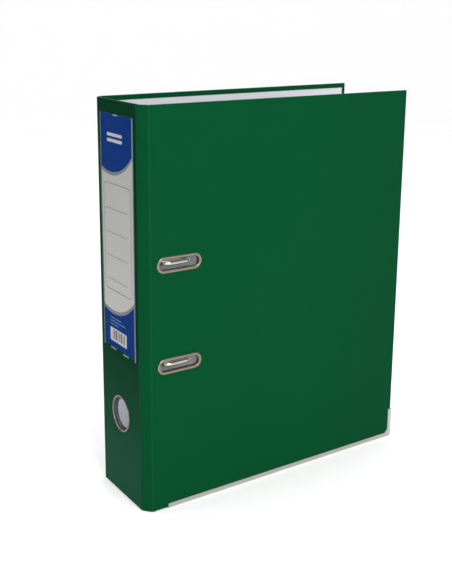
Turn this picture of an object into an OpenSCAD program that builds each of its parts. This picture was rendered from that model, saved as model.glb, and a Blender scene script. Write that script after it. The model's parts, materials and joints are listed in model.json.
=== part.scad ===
// A4 lever arch file: a board case with film hinges, a spine label pocket, lined slots,
// edge guards, and a two-ring lever arch mechanism riveted to the back cover.
// It stands on its bottom edges. X runs from the spine to the fore edge, Y from the front
// cover to the back cover, Z up. The origin is the middle of the base of its bounding box.

/* [Case] */
// Height of the boards
case_h = 318; // [300:1:330]
// Width of each cover, from its crease to the fore edge
cover_w = 256; // [245:1:280]
// Width of the spine between its creases
spine_w = 68; // [60:1:80]
// Width of each hinge strip between the spine and a cover
strip_w = 9.2; // [8:0.1:11]
// Lean of the closed case's spine, in degrees
spine_lean = 5; // [0:0.5:6]
// Turn of the front strip from the spine, in degrees
front_turn = 42; // [38:1:48]
// Turn of the back strip from the spine, in degrees
back_turn = 48; // [42:1:52]
// How far the closed front cover stands off parallel, in degrees
front_splay = 1.5; // [0:0.5:3]
// Thickness of the board
board_t = 2; // [1.8:0.1:2.2]
// Thickness of the film outside and of the lining inside
skin_t = 0.3; // [0.2:0.05:0.35]
// Width of the film turned in round the board's edges
turn_in = 4; // [3:0.5:8]

/* [Slots] */
// Distance between the two rings
ring_gap = 80; // [80:1:90]
// Distance from the front crease to the slot's rim
slot_inset = 5.2; // [4:0.1:8]
// Length of a slot's rim
slot_len = 40; // [38:0.5:46]
// Height of a slot's rim
slot_h = 12.8; // [12:0.1:14]
// Width of the rim round the slot
slot_rim = 2.4; // [2:0.1:2.8]

/* [Spine furniture] */
// Height of the finger hole's centre
finger_z = 70; // [60:1:85]
// Radius of the finger hole
finger_r = 12; // [11:0.1:12.5]
// Radius of the finger ring's rim
finger_rim_r = 15; // [14.5:0.1:16]
// Width of the label
label_w = 52.5; // [50:0.5:56]
// Height of the label
label_h = 184; // [170:1:190]
// Distance from the top of the case to the label
label_drop = 10.5; // [8:0.5:14]

/* [Edge guards] */
// Distance from the crease to the start of a guard
guard_inset = 14; // [10:1:30]
// Length of the guard's turn up the fore edge
guard_up = 26; // [15:1:40]
// Height of the guard's flange on the cover
guard_lip = 3.2; // [2.5:0.1:4.5]

/* [Mechanism] */
// Distance from the arch axle to the posts
post_gap = 27; // [26:0.5:28]
// Height of a post above the back cover
post_h = 54; // [50:1:55]
// Radius of the arch wire
wire_r = 1.9; // [1.8:0.05:2]
// Radius of a post's foot; the rest of the post is a little slimmer
post_r = 2.4; // [2.35:0.05:2.5]

/* [Hidden] */
$fn = 64;

green = [0.06, 0.34, 0.2];
board_grey = [0.55, 0.52, 0.48];
lining_grey = [0.8, 0.8, 0.82];
nickel = [0.78, 0.77, 0.74];
guard_grey = [0.74, 0.73, 0.69];
eps = 0.01;

// Layers: outer film, board, and on the inside film or lining.
panel_t = skin_t + board_t + skin_t;
// A board stops short of each crease, and so does the film by a hair, to leave room to fold.
board_back = 1.8;
film_back = 0.15;
front_lie = 90 + spine_lean - front_turn;
back_lie = 90 - spine_lean - back_turn;
// The four creases, from the front cover round to the back cover. The spine's middle is at zero.
spine_front = -spine_w / 2 * [sin(spine_lean), cos(spine_lean)];
spine_back = -spine_front;
front_crease = spine_front + strip_w * [cos(front_lie), -sin(front_lie)];
back_crease = spine_back + strip_w * [cos(back_lie), sin(back_lie)];
inner_y = back_crease[1] - panel_t;
guard_t = 0.5;
case_z = guard_t;
ring_proud = 0.9;
// Middle of the bounding box.
pocket_w = label_w + 5;
pocket_t = 0.7;
low_x = min(spine_front[0] + film_back * sin(spine_lean),
    -pocket_w / 2 * sin(spine_lean) - pocket_t * cos(spine_lean));
high_x = back_crease[0] + cover_w + guard_t;
low_y = front_crease[1] - (cover_w + guard_t) * sin(front_splay) - guard_t * cos(front_splay);
high_y = back_crease[1] + ring_proud;
mid = [(low_x + high_x) / 2, (low_y + high_y) / 2];
ring_mid_z = case_h / 2;
ring_z = [ring_mid_z + ring_gap / 2, ring_mid_z - ring_gap / 2];

slot_x = slot_inset + slot_len / 2;
slot_open_len = slot_len - 2 * slot_rim;
slot_open_h = slot_h - 2 * slot_rim;
eyelet_wall = 0.5;
eyelet_fit = 0.1;

finger_wall = 0.6;
finger_depth = 5;
pocket_edge = 2;
pocket_h = label_h + 2 * pocket_edge;
pocket_skin = 0.2;
notch_r = 7;
notch_dip = 2.4;
label_t = 0.3;
label_gap = 0.08;
label_z = case_h - label_drop - label_h;

// Mechanism, in its own frame: x from the spine, y up from the back cover's lining, z along the
// case, from the middle between the rings.
plate_t = 1.2;
axle = [front_crease[0] + slot_inset + slot_rim + wire_r + 2.6, 4.9];
post_x = axle[0] + post_gap;
bend_r = 8;
arch_sink = 1.2;
front_outer_y = front_crease[1] - (axle[0] + post_gap / 2 - front_crease[0]) * tan(front_splay);
arch_top = inner_y - front_outer_y - arch_sink - wire_r;
tip_gap = 0.25;
crank_x = axle[0] + 11;
crank_z = 15;
axle_fit = 0.08;
sleeve_r = wire_r + 1.5;
sleeve_len = 10;
sleeve_out = 6;
sleeve_z0 = ring_gap / 2 - sleeve_out - sleeve_len;
lever_axis = [axle[0] + 0.5, 12.6];
roller_r = 4;
roller_axis = [crank_x, axle[1] + wire_r + roller_r + 0.12];
roller_len = 11;
cheek_t = 1.2;
lever_w = 14;
pin_r = 1.5;
pin_fit = 0.05;
ear_t = 1.5;
ear_z = lever_w / 2 + 0.4;
plate_x = [axle[0] - 3.5, post_x + 11.5];
plate_z = 66;
rivet_r = 2.2;
rivet_fit = 0.1;
rivet_at = [[plate_x[0] + 6, plate_z - 6], [plate_x[1] - 6, plate_z - 6]];
bar_y = 6;
post_step = 0.3;
shoulder_y = bar_y + 3.5;
bar_w = 13;
bar_len = 110;
bar_t = 1.2;

// Frames.
module case_frame() translate([-mid[0], -mid[1], 0]) children();
// A panel's frame: x from its crease, y from its outer face inwards.
module front_frame() case_frame() translate(front_crease) rotate([0, 0, -front_splay]) children();
module back_frame() case_frame() translate(back_crease) mirror([0, 1, 0]) children();
module spine_frame() case_frame() translate(spine_front) rotate([0, 0, -spine_lean])
    multmatrix([[0, 1, 0, 0], [1, 0, 0, 0], [0, 0, 1, 0], [0, 0, 0, 1]]) children();
module front_strip_frame() case_frame() translate(spine_front) rotate([0, 0, -front_lie]) children();
module back_strip_frame() case_frame() translate(spine_back) rotate([0, 0, back_lie])
    mirror([0, 1, 0]) children();
module mech_frame() case_frame() translate([0, inner_y, 0]) mirror([0, 1, 0]) children();

module box(lo, hi) translate(lo) cube(hi - lo);
// A flat stadium of the given length and height, centred, lying along X.
module stadium(len, h) {
    square([len - h, h], center = true);
    for (s = [-1, 1]) translate([s * (len - h) / 2, 0]) circle(d = h);
}
// A shape drawn in X and Z, standing from y0 to y1.
module stand(y0, y1) translate([0, y1, 0]) rotate([90, 0, 0]) linear_extrude(y1 - y0) children();
// A shape drawn in X and Y, from z0 to z1.
module rise(z0, z1) translate([0, 0, z0]) linear_extrude(z1 - z0) children();

// Cover panels, in a panel frame.
module cover_board_body() box([board_back, skin_t, case_z + skin_t],
    [cover_w - skin_t, skin_t + board_t, case_h - skin_t]);
module cover_film_body() difference() {
    box([film_back, 0, case_z], [cover_w, panel_t, case_h]);
    box([-1, skin_t, case_z + skin_t], [cover_w - skin_t, skin_t + board_t, case_h - skin_t]);
    box([-1, skin_t, case_z - 1], [board_back, panel_t + 1, case_h + 1]);
    box([-1, skin_t + board_t - eps, case_z + turn_in], [cover_w - turn_in, panel_t + 1, case_h - turn_in]);
}
module cover_lining_body() box([board_back, skin_t + board_t, case_z + turn_in],
    [cover_w - turn_in, panel_t, case_h - turn_in]);
// A metal channel along the bottom edge that turns the fore edge's corner.
module guard_outline() {
    corner_r = 1.6;
    web = 3;
    x1 = cover_w + guard_t;
    lip_z = case_z + guard_lip;
    difference() {
        union() {
            translate([guard_inset, 0]) square([x1 - guard_inset, lip_z]);
            translate([cover_w - guard_lip, 0]) square([x1 - cover_w + guard_lip, case_z + guard_up]);
            polygon([[cover_w - guard_lip - web, lip_z - eps], [cover_w - guard_lip + eps, lip_z - eps],
                [cover_w - guard_lip + eps, lip_z + web]]);
        }
        difference() {
            translate([x1 - corner_r, -eps]) square([corner_r + 1, corner_r + eps]);
            translate([x1 - corner_r, corner_r]) circle(r = corner_r);
        }
    }
}
module guard_body() difference() {
    stand(-guard_t, panel_t + guard_t) guard_outline();
    box([-1, 0, case_z], [cover_w, panel_t, case_h]);
}
module slot_cuts(len, h) for (z = ring_z) stand(-1, panel_t + 1) translate([slot_x, z]) stadium(len, h);
module front_slots() slot_cuts(slot_open_len + 2 * (eyelet_wall + eyelet_fit),
    slot_open_h + 2 * (eyelet_wall + eyelet_fit));

module front_board() color(board_grey) front_frame() difference() {
    cover_board_body();
    front_slots();
}
module front_film() color(green) front_frame() difference() {
    cover_film_body();
    front_slots();
}
module front_lining() color(lining_grey) front_frame() difference() {
    cover_lining_body();
    front_slots();
}
module front_edge_guard() color(guard_grey) front_frame() guard_body();

// Rivet holes, in the back panel's frame.
module rivet_holes() for (p = rivet_at, s = [-1, 1])
    translate([p[0] - back_crease[0], -1, ring_mid_z + s * p[1]]) rotate([-90, 0, 0])
        cylinder(r = rivet_r + rivet_fit, h = panel_t + 2);
module back_board() color(board_grey) back_frame() difference() {
    cover_board_body();
    rivet_holes();
}
module back_film() color(green) back_frame() difference() {
    cover_film_body();
    rivet_holes();
}
module back_lining() color(lining_grey) back_frame() difference() {
    cover_lining_body();
    rivet_holes();
}
module back_edge_guard() color(guard_grey) back_frame() guard_body();

// Spine and strips: x across the panel, y inwards.
module narrow_board(w) box([board_back, skin_t, case_z + skin_t],
    [w - board_back, skin_t + board_t, case_h - skin_t]);
module narrow_film(w) difference() {
    box([film_back, 0, case_z], [w - film_back, panel_t, case_h]);
    box([-1, skin_t, case_z + skin_t], [w + 1, skin_t + board_t, case_h - skin_t]);
    for (x = [-1, w - board_back])
        box([x, skin_t, case_z - 1], [x + 1 + board_back, panel_t + 1, case_h + 1]);
    box([-1, skin_t + board_t - eps, case_z + turn_in], [w + 1, panel_t + 1, case_h - turn_in]);
}
module narrow_lining(w) box([board_back, skin_t + board_t, case_z + turn_in],
    [w - board_back, panel_t, case_h - turn_in]);
module finger_cut() translate([spine_w / 2, -1, finger_z]) rotate([-90, 0, 0])
    cylinder(r = finger_r + finger_wall + 0.1, h = panel_t + 2);

module spine_board() color(board_grey) spine_frame() difference() {
    narrow_board(spine_w);
    finger_cut();
}
module spine_film() color(green) spine_frame() difference() {
    narrow_film(spine_w);
    finger_cut();
}
module spine_lining() color(lining_grey) spine_frame() difference() {
    narrow_lining(spine_w);
    finger_cut();
}
module front_strip_board() color(board_grey) front_strip_frame() narrow_board(strip_w);
module front_strip_film() color(green) front_strip_frame() narrow_film(strip_w);
module front_strip_lining() color(lining_grey) front_strip_frame() narrow_lining(strip_w);
module back_strip_board() color(board_grey) back_strip_frame() narrow_board(strip_w);
module back_strip_film() color(green) back_strip_frame() narrow_film(strip_w);
module back_strip_lining() color(lining_grey) back_strip_frame() narrow_lining(strip_w);

// Finger ring: a dished rim outside, and a tube through the spine, closed by a washer inside.
module finger_ring() color(nickel) spine_frame() translate([spine_w / 2, 0, finger_z]) rotate([-90, 0, 0])
    rotate_extrude() polygon([[finger_r, -0.35], [finger_r + 1, -0.7], [finger_rim_r - 1.2, -ring_proud],
        [finger_rim_r - 0.4, -0.75], [finger_rim_r, -0.3], [finger_rim_r, 0], [finger_r + finger_wall, 0],
        [finger_r + finger_wall, finger_depth], [finger_r, finger_depth]]);
module finger_ring_washer() color(nickel) spine_frame() translate([spine_w / 2, panel_t, finger_z])
    rotate([-90, 0, 0]) difference() {
        cylinder(r = finger_rim_r - 0.2, h = 0.6);
        translate([0, 0, -1]) cylinder(r = finger_r + finger_wall + 0.05, h = 3);
    }

// Label pocket: a clear sleeve, open at the top, with a thumb notch at each end.
module notch(z) translate([spine_w / 2, 1, z]) rotate([90, 0, 0]) cylinder(r = notch_r, h = 3);
module label_pocket() color([0.9, 0.93, 0.95, 0.35]) spine_frame() difference() {
    foot = label_z - pocket_edge;
    box([(spine_w - pocket_w) / 2, -pocket_t, foot], [(spine_w + pocket_w) / 2, 0, foot + pocket_h]);
    box([(spine_w - label_w) / 2 - 0.6, -pocket_t + pocket_skin, label_z - 0.3],
        [(spine_w + label_w) / 2 + 0.6, 1, case_h]);
    notch(foot - notch_r + notch_dip);
    notch(foot + pocket_h + notch_r - notch_dip);
}
module spine_label() color([0.1, 0.25, 0.65]) spine_frame()
    box([(spine_w - label_w) / 2, -label_gap - label_t, label_z],
        [(spine_w + label_w) / 2, -label_gap, label_z + label_h]);

// Slot eyelets: a rounded rim outside and a wall through the cover, closed by a washer inside.
module slot_eyelet(z) color(nickel) front_frame() translate([slot_x, 0, z]) {
    difference() {
        union() {
            stand(-0.5, 0) stadium(slot_len, slot_h);
            stand(-ring_proud, -0.5 + eps) stadium(slot_len - 1.2, slot_h - 1.2);
            stand(-eps, panel_t + 0.4)
                stadium(slot_open_len + 2 * eyelet_wall, slot_open_h + 2 * eyelet_wall);
        }
        stand(-2, panel_t + 2) stadium(slot_open_len, slot_open_h);
    }
}
module eyelet_washer(z) color(nickel) front_frame() translate([slot_x, 0, z]) stand(panel_t, panel_t + 0.4)
    difference() {
        stadium(slot_len - 0.6, slot_h - 0.6);
        stadium(slot_open_len + 2 * (eyelet_wall + 0.05), slot_open_h + 2 * (eyelet_wall + 0.05));
    }

// Mechanism, in the mechanism's frame with z measured from the middle between the rings.
module mech() mech_frame() translate([0, 0, ring_mid_z]) children();
module along_y(p, z, r, y0, y1) translate([p, y0, z]) rotate([-90, 0, 0]) cylinder(r = r, h = y1 - y0);

module plate_outline() {
    r = 3;
    x0 = plate_x[0];
    x1 = plate_x[1];
    difference() {
        union() {
            translate([x0 + r, -plate_z]) square([x1 - x0 - 2 * r, 2 * plate_z]);
            translate([x0, -plate_z + r]) square([x1 - x0, 2 * (plate_z - r)]);
            for (x = [x0 + r, x1 - r], z = [-plate_z + r, plate_z - r]) translate([x, z]) circle(r = r);
        }
        for (p = rivet_at, s = [-1, 1]) translate([p[0], s * p[1]]) circle(r = rivet_r + rivet_fit);
        for (s = [-1, 1]) translate([post_x, s * ring_gap / 2]) circle(r = post_r - 0.6);
    }
}
// A pressed bead that stiffens the plate.
module bead(x, half) stand(plate_t - 0.3, plate_t + 0.7) translate([x, 0]) rotate(90) stadium(2 * half, 3);
module ear() rise(0, ear_t) difference() {
    union() {
        translate([lever_axis[0] - 3.3, plate_t]) square([6.6, lever_axis[1] - plate_t]);
        translate(lever_axis) circle(r = 3.9);
    }
    translate(lever_axis) circle(r = pin_r + pin_fit);
}
// A sleeve that carries the arch's axle.
module sleeve() rise(0, sleeve_len) difference() {
    union() {
        translate(axle) circle(r = sleeve_r);
        translate([axle[0] - sleeve_r + 0.6, plate_t]) square([2 * sleeve_r - 1.2, axle[1] - plate_t]);
    }
    translate(axle) circle(r = wire_r + axle_fit);
}
module base_plate() color(nickel) mech() {
    stand(0, plate_t) plate_outline();
    bead(post_x + 6.5, 40);
    bead(post_x - 8.5, 46);
}
module axle_sleeves() color(nickel) mech()
    for (z = [sleeve_z0, -sleeve_z0 - sleeve_len]) translate([0, 0, z]) sleeve();
module lever_ears() color(nickel) mech()
    for (z = [ear_z, -ear_z - ear_t]) translate([0, 0, z]) ear();

module plate_rivets() color(nickel) mech() for (p = rivet_at, s = [-1, 1]) {
    z = s * p[1];
    along_y(p[0], z, rivet_r, -panel_t - 0.3, plate_t + 0.4);
    along_y(p[0], z, 5, -panel_t - ring_proud + 0.4, -panel_t);
    along_y(p[0], z, 4, -panel_t - ring_proud, -panel_t - ring_proud + 0.4 + eps);
    along_y(p[0], z, 3.6, plate_t, plate_t + 0.7);
}
// A post: a tube on a collar, with a shoulder just above the compressor's lowest place and a
// spigot riveted through the plate.
module post(z) color(nickel) mech() difference() {
    union() {
        along_y(post_x, z, post_r, plate_t, shoulder_y);
        along_y(post_x, z, post_r - post_step, plate_t, post_h);
        along_y(post_x, z, post_r + 1.6, plate_t, plate_t + 0.8);
        along_y(post_x, z, post_r - 0.65, 0.1, plate_t + 0.1);
    }
    along_y(post_x, z, post_r - 0.8, post_h - 8, post_h + 1);
}

// The arch bow is one bent wire: two hoops, an axle, and a crank in its middle.
bow_half = [[post_x, post_h + tip_gap, ring_gap / 2, 0], [post_x, arch_top, ring_gap / 2, bend_r],
    [axle[0], arch_top, ring_gap / 2, bend_r], [axle[0], axle[1], ring_gap / 2, 4],
    [axle[0], axle[1], crank_z, 3], [crank_x, axle[1], crank_z, 3]];
bow_path = concat(bow_half,
    [for (i = [5:-1:0]) [bow_half[i][0], bow_half[i][1], -bow_half[i][2], bow_half[i][3]]]);
function spot(p) = [p[0], p[1], p[2]];
function way(a, b) = (spot(b) - spot(a)) / norm(spot(b) - spot(a));
function side_of(d) = abs(d[0]) > 0.5 ? [0, 1, 0] : [1, 0, 0];
module set_frame(x, y, z, at) multmatrix([[x[0], y[0], z[0], at[0]], [x[1], y[1], z[1], at[1]],
    [x[2], y[2], z[2], at[2]], [0, 0, 0, 1]]) children();
// Straight runs between square bends. Each point of the path carries its bend's radius.
module bent_wire(path, r) {
    n = len(path);
    for (i = [0:n - 2]) {
        d = way(path[i], path[i + 1]);
        u = side_of(d);
        set_frame(u, cross(d, u), d, spot(path[i]) + path[i][3] * d)
            cylinder(r = r, h = norm(spot(path[i + 1]) - spot(path[i])) - path[i][3] - path[i + 1][3]);
    }
    for (i = [1:n - 2]) {
        d0 = way(path[i - 1], path[i]);
        d1 = way(path[i], path[i + 1]);
        b = path[i][3];
        set_frame(-d1, d0, cross(-d1, d0), spot(path[i]) - b * d0 + b * d1)
            rotate_extrude(angle = 90) translate([b, 0]) circle(r = r);
    }
}
module arch_bow() color(nickel) mech() bent_wire(bow_path, wire_r);

// A torsion spring round the axle, worked out turn by turn.
spring_r = 2.75;
spring_wire = 0.42;
spring_turns = 5;
spring_z0 = crank_z + wire_r + 0.4;
spring_pitch = 0.95;
spring_steps = 20;
function coil_point(i) = let (a = 360 * i / spring_steps)
    [axle[0] + spring_r * cos(a), axle[1] + spring_r * sin(a),
        spring_z0 + spring_wire + spring_pitch * i / spring_steps];
coil_leg = 7;
coil_path = concat(
    [coil_point(0) + [0, coil_leg - 4, 0], coil_point(0) + [0, 0.01, 0]],
    [for (i = [1:spring_turns * spring_steps + spring_steps * 3 / 4]) coil_point(i)],
    [coil_point(spring_turns * spring_steps + spring_steps * 3 / 4) + [coil_leg, 0, 0]]);
module swept_wire(path, r, sides = 6) {
    n = len(path);
    dirs = [for (i = [0:n - 1]) let (d = path[min(i + 1, n - 1)] - path[max(i - 1, 0)]) d / norm(d)];
    points = [for (i = [0:n - 1]) let (
            t = dirs[i],
            a = cross(t, [0, 0, 1]),
            b = cross(a / norm(a), t))
        for (k = [0:sides - 1])
            path[i] + r * (cos(360 * k / sides) * a / norm(a) + sin(360 * k / sides) * b)];
    walls = [for (i = [0:n - 2], k = [0:sides - 1]) let (j = (k + 1) % sides)
        [i * sides + k, (i + 1) * sides + k, (i + 1) * sides + j, i * sides + j]];
    polyhedron(points, concat([[for (k = [0:sides - 1]) k]], walls,
        [[for (k = [sides - 1:-1:0]) (n - 1) * sides + k]]));
}
module return_spring() color([0.6, 0.6, 0.6]) mech() swept_wire(coil_path, spring_wire);

// The lever: two cheeks carry the pivot and the roller, and a strip rises to a rolled finger grip.
lever_back_x = lever_axis[0] - 4.4;
lever_top = 58;
grip_r = 4.5;
module cheek() difference() {
    union() {
        translate(lever_axis) circle(r = 4);
        translate(roller_axis) circle(r = 3);
        polygon([lever_axis + [1, -3.6], lever_axis + [5, -2.2], roller_axis + [-1.5, -2.4],
            roller_axis + [2, 2.2], lever_axis + [0.4, 11], [lever_back_x, lever_axis[1] + 22],
            [lever_back_x, lever_axis[1]]]);
    }
    translate(lever_axis) circle(r = pin_r + pin_fit);
    translate(roller_axis) circle(r = pin_r - 0.3);
}
module lever_arm() color(nickel) mech() {
    for (z = [-lever_w / 2, lever_w / 2 - cheek_t]) rise(z, z + cheek_t) cheek();
    rise(-lever_w / 2, lever_w / 2) difference() {
        union() {
            translate([lever_back_x - cheek_t, lever_axis[1] - 1])
                square([cheek_t + eps, lever_top - lever_axis[1] + 1]);
            translate([lever_back_x - grip_r, lever_top]) circle(r = grip_r);
        }
        translate([lever_back_x - grip_r, lever_top]) circle(r = grip_r - cheek_t);
        translate([lever_back_x - 2 * grip_r - 1, lever_top - 2 * grip_r])
            square([2 * grip_r + 1 - cheek_t, 2 * grip_r]);
    }
}
module lever_pin() color(nickel) mech() translate(lever_axis) {
    head = 0.8;
    reach = ear_z + ear_t;
    translate([0, 0, -reach - head]) cylinder(r = pin_r, h = 2 * (reach + head));
    for (z = [-reach - head, reach]) translate([0, 0, z]) cylinder(r = pin_r + head, h = head);
}
module roller() color([0.2, 0.2, 0.2]) mech() translate([roller_axis[0], roller_axis[1], -roller_len / 2])
    difference() {
        cylinder(r = roller_r, h = roller_len);
        translate([0, 0, -1]) cylinder(r = pin_r - 0.3 + pin_fit, h = roller_len + 2);
    }
module roller_pin() color(nickel) mech() {
    h = lever_w / 2 + 0.3;
    translate([roller_axis[0], roller_axis[1], -h]) cylinder(r = pin_r - 0.3, h = 2 * h);
}

// The compressor slides on the posts and holds the paper down.
module bar_outline(len, w, hole) difference() {
    rotate(90) stadium(len, w);
    for (s = [-1, 1]) translate([0, s * ring_gap / 2]) circle(r = hole);
}
module compressor_bar() color(nickel) mech() translate([post_x, 0, 0]) {
    stand(bar_y, bar_y + bar_t) bar_outline(bar_len, bar_w, post_r + 0.3);
    for (s = [-1, 1]) stand(bar_y + bar_t - eps, bar_y + bar_t + 1) translate([s * (bar_w / 2 - 1.6), 0])
        square([0.9, ring_gap - 14], center = true);
}
module compressor_leaf() color(nickel) mech() translate([post_x, 0, 0]) difference() {
    union() {
        stand(bar_y + bar_t, bar_y + bar_t + 0.6) bar_outline(ring_gap + 14, 7.5, post_r + 0.3);
        stand(bar_y + bar_t + 0.6 - eps, bar_y + bar_t + 1.6) rotate(90) stadium(26, 7);
    }
    stand(bar_y + bar_t + 0.6, bar_y + bar_t + 4) rotate(90) stadium(18, 3);
}

back_board();
back_film();
back_lining();
back_edge_guard();
back_strip_board();
back_strip_film();
back_strip_lining();
spine_board();
spine_film();
spine_lining();
finger_ring();
finger_ring_washer();
label_pocket();
spine_label();
front_strip_board();
front_strip_film();
front_strip_lining();
front_board();
front_film();
front_lining();
front_edge_guard();
slot_eyelet(ring_z[0]);  // upper_slot_eyelet
slot_eyelet(ring_z[1]);  // lower_slot_eyelet
eyelet_washer(ring_z[0]);  // upper_eyelet_washer
eyelet_washer(ring_z[1]);  // lower_eyelet_washer
base_plate();
axle_sleeves();
lever_ears();
plate_rivets();
post(ring_gap / 2);  // upper_post
post(-ring_gap / 2);  // lower_post
arch_bow();
return_spring();
lever_arm();
lever_pin();
roller();
roller_pin();
compressor_bar();
compressor_leaf();
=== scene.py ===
import json
import math

import bmesh
import bpy
from mathutils import Matrix, Vector


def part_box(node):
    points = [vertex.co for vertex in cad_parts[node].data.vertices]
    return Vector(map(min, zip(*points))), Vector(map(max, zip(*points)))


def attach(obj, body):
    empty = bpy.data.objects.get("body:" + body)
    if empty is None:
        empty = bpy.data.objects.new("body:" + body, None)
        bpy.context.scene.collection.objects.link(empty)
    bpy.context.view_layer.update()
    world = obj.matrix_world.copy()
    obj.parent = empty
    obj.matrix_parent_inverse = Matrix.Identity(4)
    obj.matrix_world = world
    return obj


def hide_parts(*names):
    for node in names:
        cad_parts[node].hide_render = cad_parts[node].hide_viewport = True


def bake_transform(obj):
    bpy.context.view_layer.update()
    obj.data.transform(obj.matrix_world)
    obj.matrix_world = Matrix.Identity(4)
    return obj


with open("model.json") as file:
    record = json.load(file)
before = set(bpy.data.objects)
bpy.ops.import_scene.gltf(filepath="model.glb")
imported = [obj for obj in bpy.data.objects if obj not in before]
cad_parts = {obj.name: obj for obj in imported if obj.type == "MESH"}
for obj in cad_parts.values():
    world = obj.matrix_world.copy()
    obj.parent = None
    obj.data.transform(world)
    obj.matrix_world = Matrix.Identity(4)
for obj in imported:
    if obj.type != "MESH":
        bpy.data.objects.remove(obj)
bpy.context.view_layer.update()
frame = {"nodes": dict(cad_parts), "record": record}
NODES = frame["nodes"]

MM = 0.001

# The case, as the CAD has it.
CASE_H = 318.0
CASE_Z = 0.5
COVER_W = 256.0
SPINE_W = 68.0
STRIP_W = 9.2
SPINE_LEAN = 5.0
FRONT_TURN = 42.0
BACK_TURN = 48.0
FRONT_SPLAY = 1.5
PANEL_T = 2.6
BOARD_BACK = 1.8
FILM_T = 0.3
RING_Z = (199.0, 119.0)
SLOT_INSET = 5.2
SLOT_LEN = 40.0
SLOT_H = 12.8
FINGER_Z = 70.0
FINGER_R = 12.0
FINGER_RIM_R = 15.0
LABEL_W = 52.5
LABEL_H = 184.0
LABEL_DROP = 10.5
LABEL_Z = CASE_H - LABEL_DROP - LABEL_H

FRONT_LIE = 90 + SPINE_LEAN - FRONT_TURN
BACK_LIE = 90 - SPINE_LEAN - BACK_TURN


def polar(angle, length=1.0):
    a = math.radians(angle)
    return Vector((math.cos(a) * length, math.sin(a) * length, 0))


SPINE_DIR = polar(90 - SPINE_LEAN)
SPINE_FRONT = SPINE_DIR * (-SPINE_W / 2)
SPINE_BACK = -SPINE_FRONT
FRONT_CREASE = SPINE_FRONT + polar(-FRONT_LIE, STRIP_W)
BACK_CREASE = SPINE_BACK + polar(BACK_LIE, STRIP_W)
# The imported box's middle, seen from the spine's middle. The back board fixes it: the board starts
# BOARD_BACK short of its crease and lies one film's thickness inside the outer face.
board_low, board_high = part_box("back_board")
MIDDLE = Vector((
    BACK_CREASE.x + BOARD_BACK - board_low.x / MM,
    BACK_CREASE.y - FILM_T - board_high.y / MM,
    0,
))


def frame_of(origin, along, inward):
    """A panel's frame in metres: x from its crease, y from its outer face inwards, z up."""
    m = Matrix.Identity(4)
    up = Vector((0, 0, 1))
    for i in range(3):
        m[i][0] = along[i] * MM
        m[i][1] = inward[i] * MM
        m[i][2] = up[i] * MM
        m[i][3] = (origin[i] - MIDDLE[i]) * MM
    return m


FRAMES = {
    "front_cover": frame_of(FRONT_CREASE, polar(-FRONT_SPLAY), polar(90 - FRONT_SPLAY)),
    "front_strip": frame_of(SPINE_FRONT, polar(-FRONT_LIE), polar(90 - FRONT_LIE)),
    "spine": frame_of(SPINE_FRONT, SPINE_DIR, polar(-SPINE_LEAN)),
    "back_strip": frame_of(SPINE_BACK, polar(BACK_LIE), polar(BACK_LIE - 90)),
    "back_cover": frame_of(BACK_CREASE, Vector((1, 0, 0)), Vector((0, -1, 0))),
}

# ---------------------------------------------------------------- materials


class Surface:
    """One procedural material, built from a few socket values and an optional bump."""

    def __init__(self, name):
        self.mat = bpy.data.materials.new(name)
        self.mat.use_nodes = True
        self.tree = self.mat.node_tree
        self.bsdf = self.tree.nodes["Principled BSDF"]

    def node(self, kind, **values):
        n = self.tree.nodes.new(kind)
        for key, value in values.items():
            if key in n.inputs:
                n.inputs[key].default_value = value
            else:
                setattr(n, key, value)
        return n

    def link(self, a, b):
        self.tree.links.new(a, b)

    def set(self, **values):
        for key, value in values.items():
            self.bsdf.inputs[key.replace("_", " ")].default_value = value

    def coords(self, scale):
        tc = self.node("ShaderNodeTexCoord")
        mapping = self.node("ShaderNodeMapping")
        mapping.inputs["Scale"].default_value = scale
        self.link(tc.outputs["Object"], mapping.inputs["Vector"])
        return mapping.outputs["Vector"]

    def bump(self, height, strength, distance, normal=None):
        b = self.node("ShaderNodeBump")
        b.inputs["Strength"].default_value = strength
        b.inputs["Distance"].default_value = distance
        self.link(height, b.inputs["Height"])
        if normal is not None:
            self.link(normal, b.inputs["Normal"])
        self.link(b.outputs["Normal"], self.bsdf.inputs["Normal"])

    def ramp(self, vector, axis, start, first, end, last):
        """Runs the base colour from first to last between two places along one axis, in metres."""
        sep = self.node("ShaderNodeSeparateXYZ")
        self.link(vector, sep.inputs[0])
        ramp = self.node("ShaderNodeValToRGB")
        low, high = ramp.color_ramp.elements
        low.position, low.color = start, (*first, 1)
        high.position, high.color = end, (*last, 1)
        self.link(sep.outputs[axis], ramp.inputs[0])
        self.link(ramp.outputs[0], self.bsdf.inputs["Base Color"])

    def grain(self, vector, scale, detail):
        noise = self.node("ShaderNodeTexNoise", Scale=scale, Detail=detail)
        self.link(vector, noise.inputs["Vector"])
        return noise.outputs["Fac"]

    def soft_edges(self, radius):
        n = self.node("ShaderNodeBevel", samples=4)
        n.inputs["Radius"].default_value = radius
        return n.outputs["Normal"]


def plain(name, color, roughness, edge=0.0, **more):
    """A plain matt surface for small parts and flat print."""
    s = Surface(name)
    s.set(Base_Color=(*color, 1), Roughness=roughness, **more)
    if edge:
        s.link(s.soft_edges(edge), s.bsdf.inputs["Normal"])
    return s.mat


FINE_GRAIN = 0.0001  # height of the grain in film and paper, in metres
METAL_GRAIN = 0.00008
EVEN = (1, 1, 1)
ALONG_CREASE = (1, 1, 0.12)  # stretches the grain along the crease
SLOW_WAVE = 3.0  # weight of the film's slow waves over its fine grain


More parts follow.
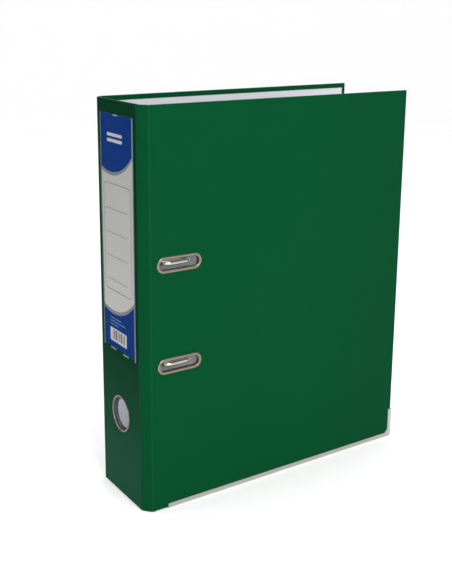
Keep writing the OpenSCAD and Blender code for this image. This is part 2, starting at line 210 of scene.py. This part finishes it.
def film_material(name, ior, axis, start, first, end, last):
    """Grained green film whose colour runs from first to last between two places on one axis, a
    painted run of light and shade.
    """
    s = Surface(name)
    s.set(Roughness=0.32, IOR=ior)
    v = s.coords(EVEN)
    s.ramp(v, axis, start, first, end, last)
    fine = s.grain(v, 900.0, 3.0)
    slow = s.grain(v, 26.0, 2.0)
    add = s.node("ShaderNodeMath", operation="MULTIPLY_ADD")
    s.link(slow, add.inputs[0])
    add.inputs[1].default_value = SLOW_WAVE
    s.link(fine, add.inputs[2])
    s.bump(add.outputs[0], 0.4, FINE_GRAIN, s.soft_edges(0.0006))
    return s.mat


def crease_highlight_material():
    """The film along a pressed crease, a little paler than the rest: a painted highlight for the light
    the crease catches.
    """
    s = Surface("crease_highlight_film")
    s.set(Base_Color=(0.0035, 0.071, 0.0255, 1), Roughness=0.4, IOR=COVER_IOR)
    s.bump(s.grain(s.coords(ALONG_CREASE), 260.0, 3.0), 0.4, FINE_GRAIN)
    return s.mat


def metal_material(name, color, roughness, edge):
    """Plated or bare metal with a faint grain and edges softened over edge metres."""
    s = Surface(name)
    s.set(Base_Color=(*color, 1), Roughness=roughness, Metallic=1.0)
    s.bump(s.grain(s.coords(EVEN), 350.0, 2.0), 0.12, METAL_GRAIN, s.soft_edges(edge))
    return s.mat


def clear_material():
    """Clear film: see-through, with a weak gloss that grows towards grazing."""
    s = Surface("clear_film")
    clear = s.node("ShaderNodeBsdfTransparent")
    clear.inputs["Color"].default_value = (0.97, 0.98, 0.98, 1)
    gloss = s.node("ShaderNodeBsdfGlossy")
    gloss.inputs["Roughness"].default_value = 0.14
    gloss.inputs["Color"].default_value = (1, 1, 1, 1)
    fresnel = s.node("ShaderNodeFresnel")
    fresnel.inputs["IOR"].default_value = CLEAR_IOR
    mix = s.node("ShaderNodeMixShader")
    s.link(fresnel.outputs[0], mix.inputs[0])
    s.link(clear.outputs[0], mix.inputs[1])
    s.link(gloss.outputs[0], mix.inputs[2])
    s.link(mix.outputs[0], s.tree.nodes["Material Output"].inputs["Surface"])
    return s.mat


def lining_material():
    s = Surface("lining_paper")
    s.set(Base_Color=(0.58, 0.585, 0.62, 1), Roughness=0.85)
    s.bump(s.grain(s.coords(EVEN), 500.0, 4.0), 0.3, FINE_GRAIN)
    return s.mat


def label_material():
    """Pale grey card that lightens a little towards its foot: painted light, the lower spine being lit
    more.
    """
    s = Surface("label_paper")
    s.set(Roughness=0.55, IOR=PRINT_IOR)
    s.ramp(s.coords(EVEN), "Z", 0.12, (0.50, 0.495, 0.475), 0.31, (0.39, 0.385, 0.37))
    return s.mat


# Set well under the real materials' values: under these broad lights those washed
# the colours out.
COVER_IOR = 1.06
SPINE_IOR = 1.03
CLEAR_IOR = 1.03
PRINT_IOR = 1.06

# The cover film's colour darkens along x from the spine's side towards the fore edge: painted shade
# for how the light falls across the cover.
FILM = film_material(
    "cover_film", COVER_IOR, "X", 0.02, (0.0018, 0.060, 0.0195), 0.24, (0.0026, 0.047, 0.0175))
# The spine film's colour darkens from 0.02 m up to 0.13 m and stays dark above: painted shade, the
# upper spine getting less light.
SPINE_FILM = film_material(
    "spine_film", SPINE_IOR, "Z", 0.02, (0.011, 0.066, 0.036), 0.13, (0.0002, 0.032, 0.0125))
# Paler film along the front cover's crease: a painted highlight.
CREASE_HIGHLIGHT = crease_highlight_material()
BOARD = plain("grey_board", (0.35, 0.31, 0.26), 0.9)
LINING = lining_material()
GUARD = metal_material("edge_steel", (0.47, 0.46, 0.42), 0.36, 0.0004)
TRIM = metal_material("nickel_trim", (0.24, 0.215, 0.165), 0.26, 0.0003)
# Dark nickel for the finger ring's cone and bore: painted shade and painted dark reflection, not a
# different metal.
SHADE = metal_material("nickel_painted_shade", (0.09, 0.09, 0.105), 0.3, 0.0003)
NICKEL = metal_material("nickel_plate", (0.5, 0.47, 0.41), 0.2, 0.0003)
SPRING = metal_material("spring_steel", (0.5, 0.5, 0.5), 0.3, 0.0001)
ROLLER = plain("roller_plastic", (0.02, 0.02, 0.022), 0.5, edge=0.0004)
CLEAR = clear_material()
WELD = plain("pocket_weld", (0.13, 0.20, 0.17), 0.25)
# Pale weld colour, partly a painted edge highlight.
EDGE = plain("pocket_edge", (0.24, 0.29, 0.28), 0.3)
CARD = label_material()
BLUE = plain("label_blue", (0.0002, 0.029, 0.175), 0.5, IOR=PRINT_IOR)
BAND = plain("label_band", (0.20, 0.20, 0.205), 0.5, IOR=PRINT_IOR)
INK = plain("label_ink", (0.06, 0.06, 0.07), 0.6, IOR=PRINT_IOR)
WHITE = plain("label_white", (0.50, 0.50, 0.49), 0.55, IOR=PRINT_IOR)
FAINT = plain("label_faint", (0.16, 0.24, 0.45), 0.55, IOR=PRINT_IOR)

SLOT_MATS = {
    "cover_film": FILM,
    "grey_board": BOARD,
    "lining_paper": LINING,
    "edge_steel": GUARD,
    "nickel_trim": TRIM,
    "clear_film": CLEAR,
    "label_paper": CARD,
    "roller_plastic": ROLLER,
    "spring_steel": SPRING,
    "nickel_plate": NICKEL,
}
SLOT_OF = {s["node"]: s["material_slot"] for s in frame["record"]["subparts"]}
for name, node in NODES.items():
    node.data.materials.clear()
    node.data.materials.append(SLOT_MATS[SLOT_OF[name]])

# ---------------------------------------------------------------- building


def make(name, bm, mats, body, place, smooth=False, blend=None):
    """A mesh object from bm, in a panel's frame, that rides on body; given blend, its transform is
    baked in and it rides on nothing.
    """
    bm.transform(place)
    if place.to_3x3().determinant() < 0:
        bmesh.ops.reverse_faces(bm, faces=bm.faces)
    mesh = bpy.data.meshes.new(name)
    bmesh.ops.recalc_face_normals(bm, faces=bm.faces)
    bm.to_mesh(mesh)
    bm.free()
    for m in mats if isinstance(mats, (list, tuple)) else [mats]:
        mesh.materials.append(m)
    obj = bpy.data.objects.new(name, mesh)
    bpy.context.scene.collection.objects.link(obj)
    if smooth:
        mesh.polygons.foreach_set("use_smooth", [True] * len(mesh.polygons))
        mesh.update()
    if blend:
        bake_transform(obj)
    else:
        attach(obj, body)
    return obj


def stadium(length, height, steps=12):
    """A closed stadium in x and z round the origin, anticlockwise."""
    r = height / 2
    pts = []
    for side in (1, -1):
        for i in range(steps + 1):
            a = math.radians(-90 + 180 * i / steps)
            pts.append((side * (length / 2 - r) + side * r * math.cos(a), side * r * math.sin(a)))
    return pts


def sweep(path, profile, centre, inside=()):
    """Sweeps a closed profile of (outward, inward) pairs round a closed path of (x, z) points.

    The profile's sides whose indexes are in inside take the second material, which on the finger ring
    is painted shade.
    """
    bm = bmesh.new()
    n = len(path)
    rings = []
    for i, (x, z) in enumerate(path):
        x0, z0 = path[i - 1]
        x1, z1 = path[(i + 1) % n]
        t = Vector((x1 - x0, z1 - z0)).normalized()
        out = Vector((t.y, -t.x))
        rings.append([
            bm.verts.new((centre[0] + x + out.x * o, y, centre[1] + z + out.y * o))
            for o, y in profile
        ])
    m = len(profile)
    for i in range(n):
        a, b = rings[i], rings[(i + 1) % n]
        for k in range(m):
            f = bm.faces.new((a[k], a[(k + 1) % m], b[(k + 1) % m], b[k]))
            f.material_index = 1 if k in inside else 0
    bmesh.ops.remove_doubles(bm, verts=bm.verts, dist=1e-4)
    return bm


def outline_prism(outer, holes, y0, y1):
    """A flat plate in x and z between y0 and y1, with holes cut through it."""
    bm = bmesh.new()
    for loop in [outer] + holes:
        vs = [bm.verts.new((x, y0, z)) for x, z in loop]
        for i, v in enumerate(vs):
            bm.edges.new((v, vs[(i + 1) % len(vs)]))
    bmesh.ops.triangle_fill(bm, use_beauty=True, edges=bm.edges)
    faces = list(bm.faces)
    ext = bmesh.ops.extrude_face_region(bm, geom=faces)
    moved = [g for g in ext["geom"] if isinstance(g, bmesh.types.BMVert)]
    bmesh.ops.translate(bm, verts=moved, vec=(0, y1 - y0, 0))
    return bm


def rounded_loop(x0, z0, x1, z1, r, steps):
    """A rectangle's outline in x and z with rounded corners, from the lower right, anticlockwise."""
    spots = [(x1, z0, 1, -1), (x1, z1, 1, 1), (x0, z1, -1, 1), (x0, z0, -1, -1)]
    pts = []
    for k, (x, z, sx, sz) in enumerate(spots):
        cx, cz = x - sx * r, z - sz * r
        start = (-90, 0, 90, 180)[k]
        for i in range(steps + 1):
            a = math.radians(start + 90 * i / steps)
            pts.append((cx + r * math.cos(a), cz + r * math.sin(a)))
    return pts


# ---------------------------------------------------------------- covers, spine and strips
FOLD = 1.8  # how far the fold's film reaches either side of a crease
SKIN_T = 2.5  # the wrapped board, a hair thinner than the lining stands
FOLD_T = 0.9  # thickness in the middle of a fold, where there is no board
EDGE_R = 0.55  # rounding of the wrapped edges
TURN_IN = 4.0  # width of film turned in over the lining's edge
HOLE_GAP = 0.6  # how far a hole in the board is wider than its eyelet's tube
LEVEL = 0.01  # two places closer than this are the same


def ring_of(radius, step, x=0.0, z=0.0):
    """A circle of points in x and z round (x, z), one every step degrees."""
    turns = [math.radians(a) for a in range(0, 360, step)]
    return [(x + radius * math.cos(a), z + radius * math.sin(a)) for a in turns]


def free_edges(bm, creases, radius):
    """Rounds the edges of a plate, apart from those at its creases."""
    def at_crease(x):
        return any(abs(x - c) < LEVEL for c in creases)

    picks = []
    for e in bm.edges:
        if len(e.link_faces) != 2 or e.calc_face_angle(0) < 0.7:
            continue
        if not all(at_crease(v.co.x) for v in e.verts):
            picks.append(e)
    bmesh.ops.bevel(bm, geom=picks, offset=radius, segments=3, profile=0.5, affect="EDGES")


def cut_through(obj, loops, place):
    """Cuts holes of the given outlines through a plate."""
    cutters = []
    for loop in loops:
        bm = outline_prism(loop, [], -3.0, 6.0)
        bm.transform(place)
        bmesh.ops.recalc_face_normals(bm, faces=bm.faces)
        mesh = bpy.data.meshes.new("cut")
        bm.to_mesh(mesh)
        bm.free()
        cutter = bpy.data.objects.new("cut", mesh)
        bpy.context.scene.collection.objects.link(cutter)
        cutters.append(cutter)
        mod = obj.modifiers.new("cut", "BOOLEAN")
        mod.operation = "DIFFERENCE"
        mod.object = cutter
        mod.solver = "EXACT"
    bpy.context.view_layer.update()
    deps = bpy.context.evaluated_depsgraph_get()
    done = bpy.data.meshes.new_from_object(obj.evaluated_get(deps))
    obj.modifiers.clear()
    obj.data = done
    for cutter in cutters:
        bpy.data.objects.remove(cutter)


def panel(name, body, x0, x1, holes, nodes, creases):
    """A wrapped board with rounded free edges, which stands for a panel's film and board."""
    outer = [(x1, CASE_Z), (x1, CASE_H), (x0, CASE_H), (x0, CASE_Z)]
    bm = outline_prism(outer, [], 0.0, SKIN_T)
    bmesh.ops.dissolve_limit(bm, angle_limit=0.01, verts=bm.verts, edges=bm.edges)
    free_edges(bm, creases, EDGE_R)
    film = SPINE_FILM if body == "spine" else FILM
    obj = make(name, bm, film, body, FRAMES[body])
    if holes:
        cut_through(obj, holes, FRAMES[body])
    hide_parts(*nodes)
    return obj


SLOT_X = SLOT_INSET + SLOT_LEN / 2
SLOT_RIM = 2.4
TUBE_CUT = 2 * (SLOT_RIM - HOLE_GAP)
slot_hole = stadium(SLOT_LEN - TUBE_CUT, SLOT_H - TUBE_CUT)
slot_holes = [[(SLOT_X + x, z + dz) for x, z in slot_hole] for dz in RING_Z]
finger_hole = ring_of(FINGER_R + 0.8, 8, SPINE_W / 2, FINGER_Z)
panel("front_cover_skin", "front_cover", FOLD, COVER_W, slot_holes,
      ["front_film", "front_board"], (FOLD,))
panel("back_cover_skin", "back_cover", FOLD, COVER_W, [], ["back_film", "back_board"], (FOLD,))
panel("spine_skin", "spine", FOLD, SPINE_W - FOLD, [finger_hole],
      ["spine_film", "spine_board"], (FOLD, SPINE_W - FOLD))
for side in ("front_strip", "back_strip"):
    panel(f"{side}_skin", side, FOLD, STRIP_W - FOLD, [],
          [f"{side}_film", f"{side}_board"], (FOLD, STRIP_W - FOLD))


FOLD_STEPS = 16
FOLD_TAPER = 3.4  # how fast a fold thins from its board's thickness to FOLD_T
CREASE_GROOVE = 0.3
HIGHLIGHT_SHARE = 0.2  # how far the painted crease highlight reaches either side of a groove, as a share of the fold
FOLD_END = 0.02  # a fold stops just short of its panels' ends
FOLD_EDGE = 0.25


def fold(name, a, b, crease, dir_a, dir_b, in_a, in_b, groove=0.0):
    """The film that turns a crease: panel a runs from the crease along dir_a, panel b along dir_b."""
    start, end = crease + dir_a * FOLD, crease + dir_b * FOLD
    outer, inner = [], []
    for i in range(FOLD_STEPS + 1):
        t = i / FOLD_STEPS
        # a smooth turn inside the corner, pressed in a little where the film is creased
        p = (1 - t) ** 2 * start + 2 * t * (1 - t) * crease + t ** 2 * end
        n = (in_a * (1 - t) + in_b * t).normalized()
        deep = SKIN_T - (SKIN_T - FOLD_T) * min(1.0, FOLD_TAPER * min(t, 1 - t))
        outer.append(p + n * groove * math.sin(math.pi * t) ** 4)
        inner.append(p + n * deep)
    bm = bmesh.new()
    steps_up = (FOLD_END, FOLD_EDGE, TURN_IN)
    levels = [CASE_Z + up for up in steps_up] + [CASE_H - up for up in reversed(steps_up)]
    section = outer + inner[::-1]
    loops = [[bm.verts.new((v.x, v.y, z)) for v in section] for z in levels]
    n = len(section)
    lined_level = 2
    for k, (low, high) in enumerate(zip(loops, loops[1:])):
        for i in range(n):
            j = (i + 1) % n
            f = bm.faces.new((low[i], low[j], high[j], high[i]))
            f.smooth = True
            if k == lined_level and FOLD_STEPS + 1 <= i < n - 1:
                f.material_index = 1
            # faces along the groove take the paler film, a painted crease highlight
            elif groove and abs(i + 0.5 - FOLD_STEPS / 2) < FOLD_STEPS * HIGHLIGHT_SHARE:
                f.material_index = 2
    bm.faces.new(loops[0][::-1])
    bm.faces.new(loops[-1])
    place = Matrix.Translation(-MIDDLE * MM) @ Matrix.Scale(MM, 4)
    blend = (a, b, (start - MIDDLE) * MM, (end - MIDDLE) * MM)
    return make(name, bm, [FILM, LINING, CREASE_HIGHLIGHT], a, place, blend=blend)


fold("front_cover_fold_film", "front_strip", "front_cover", FRONT_CREASE, polar(180 - FRONT_LIE),
     polar(-FRONT_SPLAY), polar(90 - FRONT_LIE), polar(90 - FRONT_SPLAY), CREASE_GROOVE)
fold("front_strip_fold_film", "spine", "front_strip", SPINE_FRONT,
     SPINE_DIR, polar(-FRONT_LIE), polar(-SPINE_LEAN), polar(90 - FRONT_LIE))
fold("spine_fold_film", "back_strip", "spine", SPINE_BACK,
     polar(BACK_LIE), -SPINE_DIR, polar(BACK_LIE - 90), polar(-SPINE_LEAN))
fold("back_strip_fold_film", "back_cover", "back_strip", BACK_CREASE,
     Vector((1, 0, 0)), polar(180 + BACK_LIE), Vector((0, -1, 0)), polar(BACK_LIE - 90))

# ---------------------------------------------------------------- trim


LIFT = 0.05  # metal stands this far off the film it lies on
DOME_STEPS = 8
SLOT_TUBE = 0.5


def rim_profile(width, proud, depth, curl):
    """A domed rim outside, a tube through the board, and an edge rolled over inside."""
    pts = []
    for i in range(DOME_STEPS + 1):
        t = math.pi * i / DOME_STEPS
        pts.append((width / 2 * (1 + math.cos(t)), -proud * math.sin(t) ** 0.8 - 0.02))
    pts += [(width, LIFT), (SLOT_TUBE, LIFT), (SLOT_TUBE, depth)]
    pts += [(curl, depth + 0.1), (curl, depth + 0.45)]
    pts += [(SLOT_TUBE * 0.4, depth + 0.6), (0.0, depth + 0.35)]
    return pts


def slot_rims():
    """An eyelet round each slot, which also stands for its washer."""
    for name, z in zip(("upper", "lower"), RING_Z):
        path = stadium(SLOT_LEN - 2 * SLOT_RIM, SLOT_H - 2 * SLOT_RIM, 16)
        bm = sweep(path, rim_profile(SLOT_RIM, 0.85, PANEL_T, 2.1), (SLOT_X, z))
        rim = make(f"{name}_slot_rim", bm, TRIM, "front_cover",
                   FRAMES["front_cover"], smooth=True)
        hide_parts(f"{name}_slot_eyelet", f"{name}_eyelet_washer")


BEAD_R = 0.45
BEAD_STEPS = 8
RING_PROUD = 0.88
RING_TUBE = 0.5
SHADED = range(8, 14)  # the ring's cone and bore, by the order of its section's points, which take the painted shade


def ring_profile(width, depth):
    """A finger ring's section: a thin bead, a dished cone down to the bore, a tube and a washer."""
    pts = []
    for i in range(BEAD_STEPS + 1):
        t = math.radians(-30 + 240 * i / BEAD_STEPS)
        pts.append((width - BEAD_R + BEAD_R * math.cos(t), BEAD_R - RING_PROUD - BEAD_R * math.sin(t)))
    cone = [(width - 1.5, 0.62 - RING_PROUD), (width - 2.1, 1.2 - RING_PROUD), (0.25, 1.4)]
    bore = [(0.05, 2.0), (0.0, depth)]
    washer = [(width - 0.6, depth + 0.3), (width - 0.6, depth), (RING_TUBE, depth - 0.1)]
    back = [(RING_TUBE, 1.6), (1.0, LIFT), (width, LIFT)]
    return pts + cone + bore + washer + back


def finger_rim():
    """The ring round the finger hole, which also stands for its washer."""
    profile = ring_profile(FINGER_RIM_R - FINGER_R, PANEL_T + 0.1)
    bm = sweep(ring_of(FINGER_R, 5), profile, (SPINE_W / 2, FINGER_Z), SHADED)
    # The ring's cone and bore take SHADE, a painted shade and dark reflection.
    rim = make("finger_rim", bm, [TRIM, SHADE], "spine", FRAMES["spine"], smooth=True)
    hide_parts("finger_ring", "finger_ring_washer")


slot_rims()
finger_rim()

# ---------------------------------------------------------------- label and its pocket
LABEL_X = SPINE_W / 2 - LABEL_W / 2
LABEL_END = LABEL_X + LABEL_W
LABEL_TOP = LABEL_Z + LABEL_H
LABEL_FACE = -0.38
CARD_T = 0.28
# How far each print lies over the card, so that none meets another.
BAND_UP = 0.010
BLUE_UP = 0.020
RULE_UP = 0.022
MARK_UP = 0.026
STRIPE_UP = 0.032


def card(name, loop, mat, lift, thick=0.0):
    """A flat printed shape on the label's face; loop is in the label's own x and height."""
    pts = [(LABEL_X + x, LABEL_Z + z) for x, z in loop]
    if thick:
        bm = outline_prism(pts, [], LABEL_FACE, LABEL_FACE + thick)
    else:
        bm = bmesh.new()
        vs = [bm.verts.new((x, LABEL_FACE - lift, z)) for x, z in pts]
        bm.faces.new(vs)
        bmesh.ops.triangulate(bm, faces=bm.faces)
    return make(name, bm, mat, "label", FRAMES["spine"])


def bowl(x0, x1, lowest_x, lowest, radius, steps=28):
    """Points from x0 to x1 along a round arc whose lowest point is at lowest_x."""
    pts = []
    for i in range(steps + 1):
        x = x0 + (x1 - x0) * i / steps
        drop = min(abs(x - lowest_x), radius * 0.999)
        pts.append((x, lowest + radius - math.sqrt(radius ** 2 - drop ** 2)))
    return pts


def frame_line(name, x0, z0, x1, z1, r, w, mat, lift):
    """A thin line of width w round a rectangle with rounded corners."""
    outer = rounded_loop(x0, z0, x1, z1, r, 5)
    inner = rounded_loop(x0 + w, z0 + w, x1 - w, z1 - w, r - w, 5)
    bm = bmesh.new()
    a = [bm.verts.new((LABEL_X + x, LABEL_FACE - lift, LABEL_Z + z)) for x, z in outer]
    b = [bm.verts.new((LABEL_X + x, LABEL_FACE - lift, LABEL_Z + z)) for x, z in inner]
    n = len(a)
    for i in range(n):
        bm.faces.new((a[i], a[(i + 1) % n], b[(i + 1) % n], b[i]))
    return make(name, bm, mat, "label", FRAMES["spine"])


def bar(name, x0, z0, x1, z1, mat, lift):
    return card(name, [(x0, z0), (x1, z0), (x1, z1), (x0, z1)], mat, lift)


def label_fields():
    """The card, with a blue field at each end and a grey band along each field's round edge."""
    # x on the label runs from the front cover's side, so W is the side of the back cover.
    card_loop = [(0, 0), (W, 0), (W, H), (0, H)]
    base = card("label_card", card_loop, CARD, 0, CARD_T)
    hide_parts("spine_label")
    top = bowl(0, W, lowest_x=W - 16, lowest=H - 43.8, radius=50.0)
    top_band = [(x, z - 2.6) for x, z in top]
    card("label_band_top", [(0, H), *top_band, (W, H)], BAND, BAND_UP)
    card("label_blue_top", [(0, H), *top, (W, H)], BLUE, BLUE_UP)
    for k in range(2):
        z = H - 16.6 - 4.4 * k
        bar(f"label_mark_{k}", W - 36, z, W - 11, z + 2.4, WHITE, MARK_UP)
    low = bowl(0, W, lowest_x=W - 16.3, lowest=27.3, radius=52.0)
    low_band = [(x, z + 2.9) for x, z in low]
    card("label_band_low", [(0, 0), *low_band, (W, 0)], BAND, BAND_UP)
    card("label_blue_low", [(0, 0), *low, (W, 0)], BLUE, BLUE_UP)


def label_rules():
    """A framed space to write in, with four rules."""
    frame_line("label_frame", 3.0, H - 137.5, W - 3.2, H - 52.5, 4.0, 0.45, INK, BLUE_UP)
    for k in range(4):
        z = H - 72.5 - 18.8 * k
        bar(f"label_rule_{k}", W - 42.7, z, W - 6.6, z + 0.35, INK, RULE_UP)


def label_panel():
    """A pale panel of plain stripes that encode nothing, and small rules in place of print."""
    bar("label_panel", W - 38.6, 4.6, W - 9.9, 15.4, WHITE, MARK_UP)
    for k, wide in enumerate((1.2, 0.7, 1.6, 0.7, 1.1, 0.7, 1.8, 0.8, 1.2, 0.7)):
        x = W - 35 + 2.2 * k
        bar(f"label_stripe_{k}", x, 6.4, x + wide, 14.2, INK, STRIPE_UP)
    for k, wide in enumerate((19, 26, 14)):
        z = 23.4 - 2.6 * k
        bar(f"label_small_rule_{k}", W - 10.5 - wide, z, W - 10.5, z + 0.7, FAINT, MARK_UP)


W, H = LABEL_W, LABEL_H
label_fields()
label_rules()
label_panel()

# The pocket: clear film with thin welds at its foot and sides, notched for a thumb at each end.
POCKET_SIDE = 2.5
POCKET_END = 2.0
POCKET_X = (LABEL_X - POCKET_SIDE, LABEL_END + POCKET_SIDE)
POCKET_Z = (LABEL_Z - POCKET_END, LABEL_TOP + POCKET_END)
POCKET_FACE = -0.62
WELD_FACE = -0.69
NOTCH_R = 7.0
NOTCH_DIP = 2.4


def notched(x0, z0, x1, z1, r, dip, steps=14):
    """A rectangle in x and z with a shallow round notch in its top and its bottom edge."""
    cx = (x0 + x1) / 2
    half = math.degrees(math.acos((r - dip) / r))
    pts = [(x1, z0), (x1, z1)]
    for i in range(steps + 1):
        a = math.radians(90 - half + 2 * half * i / steps)
        pts.append((cx + r * math.cos(a), z1 + (r - dip) - r * math.sin(a)))
    pts += [(x0, z1), (x0, z0)]
    for i in range(steps + 1):
        a = math.radians(90 + half - 2 * half * i / steps)
        pts.append((cx + r * math.cos(a), z0 - (r - dip) + r * math.sin(a)))
    return pts


def pocket_film():
    bm = bmesh.new()
    loop = notched(POCKET_X[0], POCKET_Z[0], POCKET_X[1], POCKET_Z[1], NOTCH_R, NOTCH_DIP)
    bm.faces.new([bm.verts.new((x, POCKET_FACE, z)) for x, z in loop])
    bmesh.ops.triangulate(bm, faces=bm.faces)
    pocket = make("pocket_film", bm, CLEAR, "spine", FRAMES["spine"])
    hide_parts("label_pocket")


def weld(name, x0, z0, x1, z1, mat, back=0.0):
    """A small bar of film in x and z, from the welds' face in to back."""
    bm = outline_prism([(x1, z0), (x1, z1), (x0, z1), (x0, z0)], [], WELD_FACE, back)
    return make(name, bm, mat, "spine", FRAMES["spine"])


def pocket_welds():
    """Welds beside the foot notch and along both sides, the one on the front cover's side pale as a
    painted edge highlight, and a lip in the top notch painted white as a highlight.
    """
    middle = (POCKET_X[0] + POCKET_X[1]) / 2
    foot, top = POCKET_Z
    weld("pocket_weld_foot_a", middle - 15.5, foot, middle - 6.5, foot + 0.9, WELD)
    weld("pocket_weld_foot_b", middle + 6.5, foot, middle + 15.5, foot + 0.9, WELD)
    # A real side weld, made pale as a painted edge highlight.
    weld("pocket_weld_side", LABEL_X - 0.9, foot, LABEL_X - 0.5, LABEL_TOP, EDGE)
    weld("pocket_weld_far_side", LABEL_END + 0.5, foot, LABEL_END + 0.9, LABEL_TOP, WELD)
    # the film's lip, white as a painted highlight, thin enough to clear the card as it slides out
    weld("pocket_lip_painted_highlight", middle - 3, top - 2.7, middle + 4, top - 2.1, WHITE, back=-0.57)


pocket_film()
pocket_welds()

# ---------------------------------------------------------------- floor, light and camera
def floor_material():
    """Near-white, and slightly self-lit so that it comes out white all over."""
    mat = plain("floor", (0.9, 0.9, 0.9), 0.9)
    sockets = mat.node_tree.nodes["Principled BSDF"].inputs
    sockets["Specular IOR Level"].default_value = 0.1
    sockets["Emission Color"].default_value = (1, 1, 1, 1)
    sockets["Emission Strength"].default_value = 0.15
    return mat


def studio_floor():
    """A round floor that curves up into a wall all round, so no edge of it shows."""
    flat_r, bend, top = 2.4, 1.2, 2.6
    bend_steps, turns = 12, 64
    profile = [(flat_r, 0.0)]
    for i in range(1, bend_steps + 1):
        a = math.radians(90 * i / bend_steps)
        profile.append((flat_r + bend * math.sin(a), bend - bend * math.cos(a)))
    profile.append((flat_r + bend, top))
    round_turn = [math.tau * k / turns for k in range(turns)]
    bm = bmesh.new()
    rings = [
        [bm.verts.new((r * math.cos(a), r * math.sin(a), z)) for a in round_turn]
        for r, z in profile
    ]
    bm.faces.new(rings[0])
    for low, high in zip(rings, rings[1:]):
        for k in range(turns):
            j = (k + 1) % turns
            f = bm.faces.new((low[k], low[j], high[j], high[k]))
            f.smooth = True
    mesh = bpy.data.meshes.new("floor")
    bm.to_mesh(mesh)
    bm.free()
    mesh.materials.append(floor_material())
    floor = bpy.data.objects.new("floor", mesh)
    bpy.context.scene.collection.objects.link(floor)


def studio_world(strength):
    world = bpy.data.worlds.new("studio")
    bpy.context.scene.world = world
    world.use_nodes = True
    background = world.node_tree.nodes["Background"]
    background.inputs["Color"].default_value = (1.0, 1.0, 1.0, 1)
    background.inputs["Strength"].default_value = strength


def area(name, at, to, size, power, spread=180):
    """A square lamp at one place that looks at another, in metres; spread is in degrees."""
    data = bpy.data.lights.new(name, "AREA")
    data.shape = "RECTANGLE"
    data.size = size
    data.size_y = size
    data.energy = power
    data.spread = math.radians(spread)
    obj = bpy.data.objects.new(name, data)
    obj.location = at
    obj.rotation_euler = (Vector(to) - Vector(at)).to_track_quat("-Z", "Y").to_euler()
    bpy.context.scene.collection.objects.link(obj)


studio_floor()
studio_world(0.45)
area("key", (-0.3, -1.9, 1.4), (0.0, 0.0, 0.15), 1.2, 28)
area("top", (0.0, 0.3, 2.3), (0.0, 0.2, 0.0), 2.4, 36)
# A narrow beam in at the fore edge, for the lining that shows through the finger hole.
area("low_inside", (0.5, -0.01, 0.06), (-0.085, 0.042, 0.055), 0.05, 0.03, 9)
bpy.context.scene.view_settings.view_transform = "Standard"

# The camera stands to the front left and a little above. Its place is in millimetres from the
# spine's middle, its angles in degrees, and its shifts in shares of the picture's longer side.
CAMERA_AT = Vector((-377.12, -639.92, 388.71))
HEADING = math.radians(37.451)
DOWN = math.radians(14.244)
ROLL = math.radians(0.615)
SENSOR = 36
LENS = 61.237
SHIFT_X = -0.01661
SHIFT_Y = -0.063356


def add_camera():
    ahead = Vector((math.sin(HEADING), math.cos(HEADING), 0))
    look = ahead * math.cos(DOWN) - Vector((0, 0, math.sin(DOWN)))
    level = Vector((math.cos(HEADING), -math.sin(HEADING), 0))
    upright = level.cross(look)
    right = math.cos(ROLL) * level + math.sin(ROLL) * upright
    up = math.cos(ROLL) * upright - math.sin(ROLL) * level
    data = bpy.data.cameras.new("camera")
    data.sensor_width = SENSOR
    data.lens = LENS
    data.shift_x = SHIFT_X
    data.shift_y = SHIFT_Y
    data.clip_end = 20
    camera = bpy.data.objects.new("camera", data)
    turn = Matrix((right, up, -look)).transposed().to_4x4()
    camera.matrix_world = Matrix.Translation((CAMERA_AT - MIDDLE) * MM) @ turn
    bpy.context.scene.collection.objects.link(camera)
    bpy.context.scene.camera = camera


add_camera()

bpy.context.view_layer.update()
